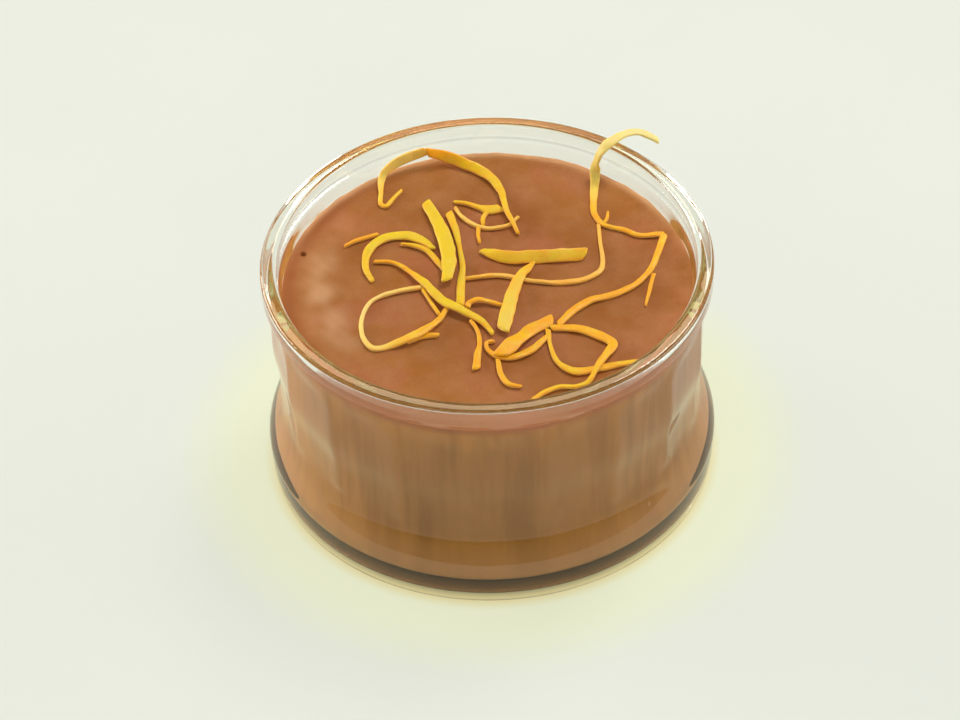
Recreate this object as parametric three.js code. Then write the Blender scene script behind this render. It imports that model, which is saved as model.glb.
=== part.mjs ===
// Chocolate mousse set in a clear glass dish, with curls of citrus zest strewn over the top.
// Millimetres, +Z up. The origin is the centre of the dish's foot ring, and -Y is the front.
import * as THREE from 'three';
import { mergeVertices } from 'three/addons/utils/BufferGeometryUtils.js';

// The dish: a flared foot, a panelled waist and a lip like a bead that overhangs the neck.
const DISH_HEIGHT = 50.8;
const LIP_RADIUS = 44.65;
const LIP_FACE_LOW = 47.0;
const LIP_ROUND = 0.8;
const LIP_INNER_ROUND = 1.1;
const NECK_RADIUS = 43.05;
const NECK_HEIGHT = 45.8;
const SHOULDER_RADIUS = 43.0;
const SHOULDER_HEIGHT = 30.0;
const WAIST_RADIUS = 42.15;
const WAIST_HEIGHT = 17.0;
const FOOT_RADIUS = 45.5;
const FOOT_HEIGHT = 7.7;

// The underside: a narrow flat ring to stand on, round a shallow recess.
const BASE_RADIUS = 44.1;
const BASE_ROUND = 1.0;
const RING_RADIUS = 43.3;
const RECESS_RADIUS = 42.4;
const RECESS_HEIGHT = 1.6;

// The panels: flat facets round the waist, which fade out under the lip and above the foot.
const PANELS = 18;
const PANEL_ANGLE = 360 / PANELS;
const PANEL_EDGE_ANGLE = 13.5;
const PANEL_FLATNESS = 0.992;
const PANEL_FADE = 3.0;
const PANEL_TOP = 42.8;

// The hollow: a round wall that widens a little from its rounded corner up, then flares to the lip.
const FLOOR_HEIGHT = 3.2;
const CORNER_ROUND = 1.6;
const HOLLOW_FLOOR_RADIUS = 39.3;
const HOLLOW_FLARE_RADIUS = 39.9;
const HOLLOW_FLARE_HEIGHT = 37.0;
const HOLLOW_LIP_RADIUS = 41.4;

// Points further out than this are on the dish's outside.
const OUTSIDE_RADIUS = 41.9;

// The filling: a soft, nearly level top that climbs a little where it meets the wall.
const MOUSSE_LEVEL = 43.2;
const MOUSSE_GAP = 0.3;
const SWELL = 0.1;
const SWELL_LENGTH = { across: 9, deep: 11, diagonal: 14 };
const SWELL_PHASE = { across: 0.6, diagonal: -1.1 };
const RIM_CLIMB = 0.35;
const RIM_CLIMB_WIDTH = 2.2;

// The zest: thin ribbons that lie on the filling (REST) or on another ribbon (OVER).
const ZEST_THICKNESS = 0.7;
const REST = 0.8;
const OVER = 1.05;
const ZEST_STEP = 1.25;

const ROUND_SEGMENTS = 4 * PANELS;

const glass = new THREE.MeshStandardMaterial({ color: 0xdfe3cf, roughness: 0.05, metalness: 0 });
glass.name = 'glass';
glass.transparent = true;
glass.opacity = 0.35;
const mousse = new THREE.MeshStandardMaterial({ color: 0xab7144, roughness: 0.75, metalness: 0 });
mousse.name = 'mousse';
const lemon = new THREE.MeshStandardMaterial({ color: 0xeebf4e, roughness: 0.5, metalness: 0 });
lemon.name = 'lemon_zest';
const orange = new THREE.MeshStandardMaterial({ color: 0xe3a443, roughness: 0.5, metalness: 0 });
orange.name = 'orange_zest';

const radians = THREE.MathUtils.degToRad;

function arc(radius, height, round, fromDegrees, toDegrees, steps) {
  // Points of a round corner about the centre (radius, height), angles counted from straight out.
  const points = [];
  for (let i = 0; i <= steps; i += 1) {
    const angle = radians(fromDegrees + ((toDegrees - fromDegrees) * i) / steps);
    points.push([radius + round * Math.cos(angle), height + round * Math.sin(angle)]);
  }
  return points;
}

function sweep([lowRadius, lowHeight], [highRadius, highHeight], steps) {
  // Points from low to high along half a cosine wave, which stands upright at both ends.
  const points = [];
  for (let i = 0; i <= steps; i += 1) {
    const t = i / steps;
    const blend = 0.5 - 0.5 * Math.cos(Math.PI * t);
    const radius = THREE.MathUtils.lerp(lowRadius, highRadius, blend);
    points.push([radius, THREE.MathUtils.lerp(lowHeight, highHeight, t)]);
  }
  return points;
}

function flareRadius(height) {
  // The hollow's radius above the height where its wall starts to flare out to the lip.
  const t = THREE.MathUtils.smoothstep(height, HOLLOW_FLARE_HEIGHT, DISH_HEIGHT - LIP_INNER_ROUND);
  return THREE.MathUtils.lerp(HOLLOW_FLARE_RADIUS, HOLLOW_LIP_RADIUS, t);
}

function hollowWall(gap) {
  // The hollow's outline from the filling's level down to its floor, drawn in by gap.
  const wall = [MOUSSE_LEVEL, (MOUSSE_LEVEL + HOLLOW_FLARE_HEIGHT) / 2, HOLLOW_FLARE_HEIGHT];
  const centre = HOLLOW_FLOOR_RADIUS - CORNER_ROUND;
  const corner = arc(centre, FLOOR_HEIGHT + CORNER_ROUND, CORNER_ROUND - gap, 0, -90, 4);
  return [...wall.map((height) => [flareRadius(height) - gap, height]), ...corner];
}

function turn(outline) {
  // A solid of revolution about Z whose outline runs from the axis back to the axis.
  const points = outline.map(([radius, height]) => new THREE.Vector2(radius, height));
  const geometry = new THREE.LatheGeometry(points, ROUND_SEGMENTS, radians(PANEL_EDGE_ANGLE));
  geometry.rotateX(Math.PI / 2);
  geometry.deleteAttribute('uv');
  geometry.deleteAttribute('normal');
  return mergeVertices(geometry, 1e-4);
}

function reshape(geometry, move) {
  // Moves every point of a geometry by the function move(point).
  const positions = geometry.attributes.position;
  const point = new THREE.Vector3();
  for (let i = 0; i < positions.count; i += 1) {
    point.fromBufferAttribute(positions, i);
    move(point);
    positions.setXYZ(i, point.x, point.y, point.z);
  }
  return geometry;
}

function flattenPanel(point) {
  // Draws the outside of the waist onto the flats of an even polygon.
  const isOutside = Math.hypot(point.x, point.y) > OUTSIDE_RADIUS;
  if (!isOutside) return;
  const fadeStart = WAIST_HEIGHT - PANEL_FADE / 2;
  const fadeIn = THREE.MathUtils.smoothstep(point.z, fadeStart, fadeStart + PANEL_FADE);
  const fadeOut = THREE.MathUtils.smoothstep(point.z, PANEL_TOP - PANEL_FADE, PANEL_TOP);
  const angle = THREE.MathUtils.radToDeg(Math.atan2(point.x, -point.y)) - PANEL_EDGE_ANGLE;
  const fromEdge = THREE.MathUtils.euclideanModulo(angle, PANEL_ANGLE);
  const flat = PANEL_FLATNESS / Math.cos(radians(fromEdge - PANEL_ANGLE / 2));
  const scale = 1 + (flat - 1) * fadeIn * (1 - fadeOut);
  point.x *= scale;
  point.y *= scale;
}

function makeDish() {
  const lipCentre = DISH_HEIGHT - LIP_ROUND;
  const innerCentre = DISH_HEIGHT - LIP_INNER_ROUND;
  const aboveFilling = (MOUSSE_LEVEL + innerCentre) / 2;
  const outline = [
    [0, RECESS_HEIGHT],
    [RECESS_RADIUS, RECESS_HEIGHT],
    [RING_RADIUS, 0],
    ...arc(BASE_RADIUS, BASE_ROUND, BASE_ROUND, -90, 0, 3),
    ...sweep([FOOT_RADIUS, FOOT_HEIGHT], [WAIST_RADIUS, WAIST_HEIGHT], 6),
    [WAIST_RADIUS, (WAIST_HEIGHT + SHOULDER_HEIGHT) / 2],
    [SHOULDER_RADIUS, SHOULDER_HEIGHT],
    [SHOULDER_RADIUS, PANEL_TOP - PANEL_FADE],
    [NECK_RADIUS, PANEL_TOP],
    ...sweep([NECK_RADIUS, NECK_HEIGHT], [LIP_RADIUS, LIP_FACE_LOW], 4),
    ...arc(LIP_RADIUS - LIP_ROUND, lipCentre, LIP_ROUND, 0, 90, 3),
    ...arc(HOLLOW_LIP_RADIUS + LIP_INNER_ROUND, innerCentre, LIP_INNER_ROUND, 90, 180, 4),
    [flareRadius(aboveFilling), aboveFilling],
    ...hollowWall(0),
    [0, FLOOR_HEIGHT],
  ];
  return reshape(turn(outline), flattenPanel);
}

function surfaceRise(x, y) {
  // How far the filling's top stands above or below its level: three slow swells and the climb.
  const across = Math.sin(x / SWELL_LENGTH.across + SWELL_PHASE.across);
  const deep = Math.cos(y / SWELL_LENGTH.deep);
  const diagonal = Math.sin((x + y) / SWELL_LENGTH.diagonal + SWELL_PHASE.diagonal);
  const edge = mousseRadius() - Math.hypot(x, y);
  const climb = Math.exp(-((edge / RIM_CLIMB_WIDTH) ** 2));
  return (SWELL * (across * deep + diagonal)) / 2 + RIM_CLIMB * climb;
}

function mousseRadius() {
  return flareRadius(MOUSSE_LEVEL) - MOUSSE_GAP;
}

function makeMousse() {
  const floor = [0, FLOOR_HEIGHT + MOUSSE_GAP];
  const side = hollowWall(MOUSSE_GAP).reverse();
  const rings = 10;
  const top = [];
  for (let i = 1; i <= rings; i += 1) {
    top.push([mousseRadius() * Math.sqrt(1 - i / rings), MOUSSE_LEVEL]);
  }
  return reshape(turn([floor, ...side, ...top]), (point) => {
    const isTop = point.z > MOUSSE_LEVEL - 1e-3;
    if (isTop) point.z += surfaceRise(point.x, point.y);
  });
}

function along(values, t) {
  // A value that runs smoothly through evenly spaced ones as t goes from 0 to 1.
  const place = t * (values.length - 1);
  const i = Math.min(Math.floor(place), values.length - 2);
  return THREE.MathUtils.lerp(values[i], values[i + 1], THREE.MathUtils.smoothstep(place - i, 0, 1));
}

function makeRibbon({ route, widths, leans = [0, 0] }) {
  // A flat strip carried along a smooth curve. Its left edge is raised by the lean.
  const points = route.map(([x, y, lift = 0]) => new THREE.Vector3(x, y, MOUSSE_LEVEL + REST + lift));
  const curve = new THREE.CatmullRomCurve3(points, false, 'centripetal');
  const steps = Math.max(3, Math.round(curve.getLength() / ZEST_STEP));
  const positions = [];
  for (let i = 0; i <= steps; i += 1) {
    const t = i / steps;
    const centre = curve.getPointAt(t);
    const tangent = curve.getTangentAt(t);
    const left = new THREE.Vector3(-tangent.y, tangent.x, 0).normalize();
    left.applyAxisAngle(tangent, radians(along(leans, t)));
    const above = new THREE.Vector3().crossVectors(tangent, left).normalize();
    for (const [sideways, upwards] of [[-1, -1], [1, -1], [1, 1], [-1, 1]]) {
      const corner = centre.clone();
      corner.addScaledVector(left, (sideways * along(widths, t)) / 2);
      corner.addScaledVector(above, (upwards * ZEST_THICKNESS) / 2);
      positions.push(corner.x, corner.y, corner.z);
    }
  }
  const triangles = [0, 2, 1, 0, 3, 2];
  for (let i = 0; i < steps; i += 1) {
    for (let k = 0; k < 4; k += 1) {
      const a = 4 * i + k;
      const b = 4 * i + ((k + 1) % 4);
      triangles.push(a, b, b + 4, a, b + 4, a + 4);
    }
  }
  const end = 4 * steps;
  triangles.push(end, end + 1, end + 2, end, end + 2, end + 3);
  const geometry = new THREE.BufferGeometry();
  geometry.setAttribute('position', new THREE.Float32BufferAttribute(positions, 3));
  geometry.setIndex(triangles);
  return geometry;
}

// Each ribbon's route over the filling: x, y and its lift off the filling where it has one.
// Widths, and leans in degrees, are spread evenly from the ribbon's first end to its last.
const ribbons = [
  {
    name: 'zest_wall_curl',
    material: orange,
    widths: [0.7, 1.0, 1.0, 1.6, 2.3, 1.8],
    leans: [0, 0, 0, 50, 75, 70],
    route: [
      [-16.6, 30.0], [-18.3, 27.6], [-20.0, 25.0], [-21.0, 25.6], [-21.0, 29.0, 0.2], [-20.9, 32.6, 0.7],
      [-19.9, 34.4, 1.9], [-17.0, 36.1, 2.8], [-14.2, 37.4, 3.1], [-11.7, 38.2, 3.4],
    ],
  },
  {
    name: 'zest_back_sweep',
    material: lemon,
    widths: [1.9, 2.4, 2.3, 1.9, 1.3, 1.0, 0.7],
    leans: [55, 45, 20, 0, 0, 0, 0],
    route: [
      [-10.9, 38.0, 3.0], [-7.6, 38.2, 2.1], [-3.2, 36.6, 0.9], [-0.4, 34.8, 0.5], [1.9, 32.0, 0.4],
      [3.5, 28.1, 0.4], [4.1, 23.3, 1.15], [4.7, 20.4, OVER], [5.6, 17.7, OVER], [6.2, 15.9, OVER],
      [6.7, 14.2, 0.3],
    ],
  },
  {
    name: 'zest_back_fold',
    material: lemon,
    widths: [0.8, 0.9, 1.2, 2.4, 2.4],
    route: [[-6.3, 25.6], [-3.5, 24.9], [-0.8, 23.4], [1.3, 22.7], [3.6, 23.3]],
  },
  {
    name: 'zest_back_thread',
    material: orange,
    widths: [0.7, 0.9, 0.9, 0.7],
    route: [[-6.1, 24.0], [-4.6, 20.7], [-1.6, 17.7], [0.8, 16.8], [4.5, 17.6], [6.9, 20.3]],
  },
  {
    name: 'zest_back_tail',
    material: orange,
    widths: [0.9, 0.8, 0.6],
    route: [[-1.5, 16.5], [-1.5, 14.5], [-1.2, 12.2]],
  },
  {
    name: 'zest_back_link',
    material: orange,
    widths: [1.1, 1.0, 0.8],
    route: [[0.2, 21.2], [-0.4, 19.6], [-0.2, 18.1]],
  },
  {
    name: 'zest_lemon_bar',
    material: lemon,
    widths: [2.2, 2.6, 3.1, 3.0, 2.2],
    route: [
      [-12.0, 25.9, 0.1], [-9.8, 19.8, 0.4], [-8.1, 12.8, 0.9], [-7.5, 6.5, 1.2], [-8.0, 0.2, 1.1],
    ],
  },
  {
    name: 'zest_lemon_edge',
    material: lemon,
    widths: [1.7, 1.5, 1.0, 1.2, 1.7, 1.7],
    route: [[-7.3, 22.4], [-6.0, 16.5], [-5.1, 9.0], [-4.8, 5.0], [-5.2, 0.6], [-5.5, -5.6]],
  },
  {
    name: 'zest_left_arch',
    material: lemon,
    widths: [0.8, 1.1, 1.6, 2.1, 2.0, 1.0],
    route: [
      [-22.6, 1.8], [-24.0, 5.2], [-23.7, 10.8], [-20.8, 14.7], [-16.6, 15.6], [-12.8, 13.9],
      [-10.5, 11.0],
    ],
  },
  {
    name: 'zest_left_inner',
    material: lemon,
    widths: [0.6, 1.0, 1.1, 0.8],
    route: [[-16.4, 12.7], [-14.4, 12.1], [-12.2, 10.7], [-10.1, 7.4], [-8.4, 3.8]],
  },
  {
    name: 'zest_left_tip',
    material: orange,
    widths: [0.6, 0.9, 0.8],
    route: [[-28.5, 12.8], [-26.0, 14.5], [-22.6, 16.0]],
  },
  {
    name: 'zest_diagonal',
    material: lemon,
    widths: [0.8, 0.9, 1.6, 2.1, 1.6, 0.9],
    route: [
      [-22.6, 7.9], [-18.4, 7.2], [-15.3, 4.0, 0.4], [-12.4, 0.0, OVER], [-9.0, -5.4, OVER],
      [-4.6, -9.0, OVER], [-1.3, -11.6, 0.4], [0.8, -15.2],
    ],
  },
  {
    name: 'zest_front_loop',
    material: orange,
    widths: [1.1, 1.0, 0.8, 0.9, 1.0, 1.5, 2.1, 1.3, 1.0],
    route: [
      [-12.6, -0.4], [-17.8, -1.4], [-22.6, -3.8], [-24.7, -8.4], [-24.7, -14.4], [-22.6, -18.0],
      [-19.4, -17.4], [-15.4, -15.9, OVER], [-13.0, -14.3, OVER], [-9.6, -10.4, 0.4], [-8.1, -7.0],
    ],
  },
  {
    name: 'zest_loop_spur',
    material: orange,
    widths: [0.8, 0.8, 0.7],
    route: [[-12.3, -2.2], [-11.2, -5.7], [-10.5, -9.0]],
  },
  {
    name: 'zest_loop_under',
    material: orange,
    widths: [1.0, 1.4, 1.0],
    route: [[-15.4, -16.6], [-13.2, -15.2], [-9.9, -14.6]],
  },
  {
    name: 'zest_cross_bar',
    material: orange,
    widths: [0.5, 2.3, 2.8, 2.8, 2.8, 2.4],
    leans: [0, 38, 45, 45, 42, 35],
    route: [[-1.0, 10.2], [1.2, 8.6, 0.4], [4.6, 7.0, 0.9], [12.0, 6.9, 0.95], [20.0, 7.3, 0.8]],
  },
  {
    name: 'zest_centre_bar',
    material: lemon,
    widths: [1.3, 2.4, 2.7, 3.0, 2.7],
    route: [
      [8.6, 4.6, 0.1], [8.0, 3.7, 0.5], [6.9, 1.9, OVER], [5.2, -2.9, OVER], [4.0, -8.0, OVER],
      [2.8, -14.0, 0.7],
    ],
  },
  {
    name: 'zest_long_thread',
    material: orange,
    widths: [0.8, 1.1, 0.9, 1.3, 1.1, 0.8, 0.8],
    route: [
      [-3.9, 1.8], [2.5, 2.3], [8.0, 0.5], [13.5, -0.5], [18.6, 0.0], [22.4, 2.5], [23.1, 5.6],
      [22.9, 11.0], [23.0, 16.0],
    ],
  },
  {
    name: 'zest_small_curl',
    material: orange,
    widths: [1.2, 1.3, 1.0, 0.8],
    route: [[-4.2, -7.2], [-3.7, -5.9, 0.3], [-2.2, -5.4, 0.8], [0.4, -5.8, 0.3], [2.9, -6.9]],
  },
  {
    name: 'zest_rim_tail',
    material: lemon,
    widths: [1.5, 2.0, 2.2, 2.2, 1.7, 1.3, 1.1, 1.1, 1.4],
    route: [
      [36.2, 36.2, 5.4], [32.6, 37.2, 7.0], [29.3, 36.4, 7.6], [26.7, 34.4, 7.8], [24.6, 32.7, 7.3],
      [23.5, 32.2, 4.9], [22.9, 31.8, 2.0], [22.7, 30.0, 0.3], [22.3, 26.0], [22.2, 20.2],
      [23.8, 16.8], [28.0, 14.8], [30.6, 13.1], [34.6, 13.2],
    ],
  },
  {
    name: 'zest_right_arc',
    material: orange,
    widths: [1.5, 1.3, 1.2, 1.5, 1.7, 1.4],
    route: [
      [35.6, 11.9], [34.3, 8.2], [32.2, 2.0], [28.9, -2.1], [24.4, -4.8], [20.4, -6.0],
      [16.6, -9.0], [14.3, -12.2],
    ],
  },
  {
    name: 'zest_right_fleck',
    material: orange,
    widths: [0.7, 0.7, 0.5],
    route: [[24.5, 18.0], [24.8, 19.2], [24.9, 20.6]],
  },
  {
    name: 'zest_right_spur',
    material: orange,
    widths: [0.8, 0.8, 0.5],
    route: [[32.9, 0.3], [31.9, -3.6], [30.8, -8.4]],
  },
  {
    name: 'zest_front_slab',
    material: orange,
    widths: [2.2, 2.6, 2.9, 3.3, 2.6],
    route: [
      [12.3, -10.9, 0.1], [8.6, -13.8, 0.1], [6.6, -16.0, 0.4], [4.4, -18.8, OVER],
      [2.0, -22.1, OVER],
    ],
  },
  {
    name: 'zest_front_hook',
    material: orange,
    widths: [1.1, 1.5, 1.6, 1.4, 0.9, 0.7],
    route: [
      [10.4, -18.1], [8.0, -20.0], [4.5, -21.9], [1.5, -21.5], [-0.5, -19.4], [-0.5, -17.5],
      [1.1, -17.1],
    ],
  },
  {
    name: 'zest_right_loop',
    material: orange,
    widths: [1.6, 1.9, 2.2, 1.9, 1.4, 1.0, 0.9, 1.0, 0.9],
    route: [
      [12.8, -14.0], [17.0, -14.4], [21.7, -16.8], [23.8, -19.2, 0.1], [22.2, -23.0, 0.9],
      [21.0, -25.2, OVER], [20.2, -27.0, OVER], [18.5, -29.9, 0.2], [16.4, -30.9], [12.8, -30.9],
      [9.6, -32.6], [7.5, -34.5],
    ],
  },
  {
    name: 'zest_right_curl',
    material: orange,
    widths: [1.1, 0.8, 1.0, 1.8, 1.6, 1.2, 1.1],
    route: [
      [11.5, -15.3], [11.8, -19.6], [13.1, -24.0], [16.2, -26.6], [21.0, -25.9], [26.0, -24.8],
      [30.8, -24.5, 0.2],
    ],
  },
  {
    name: 'zest_front_stem',
    material: orange,
    widths: [0.7, 0.8, 1.0, 1.5, 1.6],
    route: [[-3.0, -12.2], [-2.3, -14.4], [-2.0, -17.7], [-2.5, -21.4], [-2.8, -25.2]],
  },
  {
    name: 'zest_front_tip',
    material: orange,
    widths: [0.9, 1.1, 1.1, 0.7],
    route: [[1.4, -23.8], [2.0, -27.0], [3.4, -29.6], [5.9, -30.5]],
  },
];

function addPiece(group, name, geometry, material) {
  geometry.computeVertexNormals();
  const mesh = new THREE.Mesh(geometry, material);
  mesh.name = name;
  group.add(mesh);
}

const dessert = new THREE.Group();
addPiece(dessert, 'glass_dish', makeDish(), glass);
addPiece(dessert, 'mousse', makeMousse(), mousse);
for (const ribbon of ribbons) {
  addPiece(dessert, ribbon.name, makeRibbon(ribbon), ribbon.material.clone());
}

export default dessert;
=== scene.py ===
"""A glass dish of chocolate mousse strewn with citrus zest, laid out as a Blender add-on.

The CAD frame is loaded first, and every piece is worked out in its coordinates: metres, +Z up, the
origin on the table at the centre of the dish's foot ring, and -Y to the front.
"""

import math

import bpy
import numpy as np
from mathutils import Matrix, Vector


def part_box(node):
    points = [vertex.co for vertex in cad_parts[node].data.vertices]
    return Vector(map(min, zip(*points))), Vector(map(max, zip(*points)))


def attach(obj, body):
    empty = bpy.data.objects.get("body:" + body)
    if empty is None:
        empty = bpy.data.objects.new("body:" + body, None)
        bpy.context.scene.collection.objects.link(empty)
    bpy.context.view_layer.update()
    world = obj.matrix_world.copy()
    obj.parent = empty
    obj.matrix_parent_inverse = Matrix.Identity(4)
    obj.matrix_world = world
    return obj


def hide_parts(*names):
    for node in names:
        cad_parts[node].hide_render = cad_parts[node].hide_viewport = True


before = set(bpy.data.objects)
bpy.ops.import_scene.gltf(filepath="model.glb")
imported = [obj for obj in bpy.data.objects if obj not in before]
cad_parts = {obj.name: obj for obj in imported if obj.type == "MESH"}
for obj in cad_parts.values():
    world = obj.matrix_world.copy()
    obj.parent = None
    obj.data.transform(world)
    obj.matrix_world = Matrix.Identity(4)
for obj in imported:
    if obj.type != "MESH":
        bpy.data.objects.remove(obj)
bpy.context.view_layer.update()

bl_info = {
    "name": "Chocolate mousse",
    "version": (1, 0, 0),
    "blender": (4, 5, 0),
    "location": "3D View > Sidebar > Dessert",
    "description": "Makes a glass dish of chocolate mousse with strips of citrus zest",
    "category": "Add Mesh",
}

MM = 0.001
DISH_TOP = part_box("glass_dish")[1].z


def linear(red, green, blue):
    """A colour given as 0-255 screen values, turned into the linear values that shaders use."""
    screen = np.array([red, green, blue]) / 255
    low, high = screen / 12.92, ((screen + 0.055) / 1.055) ** 2.4
    return tuple(float(value) for value in np.where(screen <= 0.04045, low, high))


# --------------------
# Shapes: points and faces as whole arrays
# --------------------


def arc(centre, radius, start, stop, count):
    """Points of a round corner: the centre plus the radius times the cosine and sine of the angle."""
    angle = np.radians(np.linspace(start, stop, count))
    return np.column_stack([centre[0] + radius * np.cos(angle), centre[1] + radius * np.sin(angle)])


def smooth_curve(points, count):
    """A centripetal Catmull-Rom curve through the points, cut into evenly long steps.

    Each stretch is a cubic between two points. Its end slopes come from the neighbours, spaced by the
    square root of the distance between them. The fine curve is then read off at even arc lengths.
    """
    points = np.asarray(points, float)
    ends = (2 * points[0] - points[1], 2 * points[-1] - points[-2])
    p = np.vstack([ends[0], points, ends[1]])
    knot = np.sqrt(np.linalg.norm(np.diff(p, axis=0), axis=1))[:, None]
    a, b, c = knot[:-2], knot[1:-1], knot[2:]
    before, start, stop, after = p[:-3], p[1:-2], p[2:-1], p[3:]
    slope_in = b * ((start - before) / a - (stop - before) / (a + b) + (stop - start) / b)
    slope_out = b * ((stop - start) / b - (after - start) / (b + c) + (after - stop) / c)
    t = np.linspace(0, 1, 48, endpoint=False)[None, :, None]
    start, stop, slope_in, slope_out = (v[:, None, :] for v in (start, stop, slope_in, slope_out))
    fine = (
        (2 * t**3 - 3 * t**2 + 1) * start
        + (t**3 - 2 * t**2 + t) * slope_in
        + (3 * t**2 - 2 * t**3) * stop
        + (t**3 - t**2) * slope_out
    ).reshape(-1, points.shape[1])
    fine = np.vstack([fine, points[-1]])
    reach = np.concatenate([[0], np.cumsum(np.linalg.norm(np.diff(fine, axis=0), axis=1))])
    even = np.linspace(0, reach[-1], count)
    return np.column_stack([np.interp(even, reach, axis) for axis in fine.T]), reach[-1]


def smoothstep(value, low, high):
    """0 below low, 1 above high, and three squares less two cubes of the way between them."""
    t = np.clip((value - low) / (high - low), 0, 1)
    return t * t * (3 - 2 * t)


def spread(values, t):
    """A value that runs smoothly through evenly spaced ones as t goes from 0 to 1."""
    values = np.asarray(values, float)
    place = t * (len(values) - 1)
    i = np.minimum(place.astype(int), len(values) - 2)
    return values[i] + (values[i + 1] - values[i]) * smoothstep(place - i, 0, 1)


def unevenness(points, wavelength, seed, waves=9):
    """A soft random relief between about -1 and 1.

    It is the sum of sine waves over the root of half their number. Their directions and phases come
    from a seeded generator, and their lengths lie within a third of the wavelength.
    """
    points = np.asarray(points, float)
    points = points[:, None] if points.ndim == 1 else points
    random = np.random.default_rng(seed)
    direction = random.normal(size=(points.shape[1], waves))
    direction /= np.linalg.norm(direction, axis=0)
    direction *= 2 * np.pi / (wavelength * random.uniform(0.7, 1.35, waves))
    phase = random.uniform(0, 2 * np.pi, waves)
    return np.sin(points @ direction + phase).sum(axis=1) / math.sqrt(2 * waves)


def closed_faces(rings, around):
    """Faces of a closed skin over rings of points, with one point more at each end.

    Point j of ring i is number i * around + j. Neighbouring rings are joined by four-cornered faces,
    and the first and last rings by three-cornered ones to the end points, which are numbered last.
    """
    j = np.arange(around)
    step = (j + 1) % around
    first = (np.arange(rings - 1) * around)[:, None]
    sides = np.stack([first + j, first + step, first + around + step, first + around + j], axis=-1)
    start, last = rings * around, (rings - 1) * around
    start_fan = np.column_stack([np.full(around, start), step, j])
    end_fan = np.column_stack([np.full(around, start + 1), last + j, last + step])
    return sides.reshape(-1, 4), np.vstack([start_fan, end_fan])


def build_mesh(name, points, quads, triangles, attributes=()):
    """A smooth-shaded mesh object at the origin from arrays of points and faces."""
    mesh = bpy.data.meshes.new(name)
    corners = np.concatenate([quads.ravel(), triangles.ravel()]).astype(np.int32)
    sizes = np.concatenate([np.full(len(quads), 4), np.full(len(triangles), 3)])
    mesh.vertices.add(len(points))
    mesh.vertices.foreach_set("co", np.asarray(points, np.float32).ravel())
    mesh.loops.add(len(corners))
    mesh.loops.foreach_set("vertex_index", corners)
    mesh.polygons.add(len(sizes))
    starts = np.concatenate([[0], np.cumsum(sizes)[:-1]]).astype(np.int32)
    mesh.polygons.foreach_set("loop_start", starts)
    mesh.polygons.foreach_set("use_smooth", np.ones(len(sizes), bool))
    mesh.update(calc_edges=True)
    mesh.validate()
    for label, values in dict(attributes).items():
        layer = mesh.attributes.new(label, "FLOAT", "POINT")
        layer.data.foreach_set("value", np.asarray(values, np.float32))
    piece = bpy.data.objects.new(name, mesh)
    bpy.context.scene.collection.objects.link(piece)
    return piece


def turn(outline, angles):
    """Rings of a solid of revolution: each outline point (radius, height) carried round the Z axis."""
    radius, height = outline[:, :1], outline[:, 1:]
    x, y = radius * np.cos(angles), radius * np.sin(angles)
    return np.stack([x, y, np.broadcast_to(height, x.shape)], axis=-1)


# --------------------
# Sizes and colours that a user would change
# --------------------


def number(name, description, default, **kind):
    """A number property, with its unit, subtype and limits where it has them."""
    return bpy.props.FloatProperty(name=name, description=description, default=default, **kind)


def length(name, description, millimetres):
    """A length property with its default given in millimetres."""
    return number(name, description, millimetres * MM, unit="LENGTH", precision=5)


def power(name, description, watts):
    """A property for the power of a lamp."""
    return number(name, description, watts, unit="POWER", min=0)


def colour(name, description, red, green, blue):
    """A colour property with its default given as screen values."""
    return bpy.props.FloatVectorProperty(
        name=name,
        description=description,
        default=linear(red, green, blue),
        subtype="COLOR",
        size=3,
        min=0,
        max=1,
    )


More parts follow.
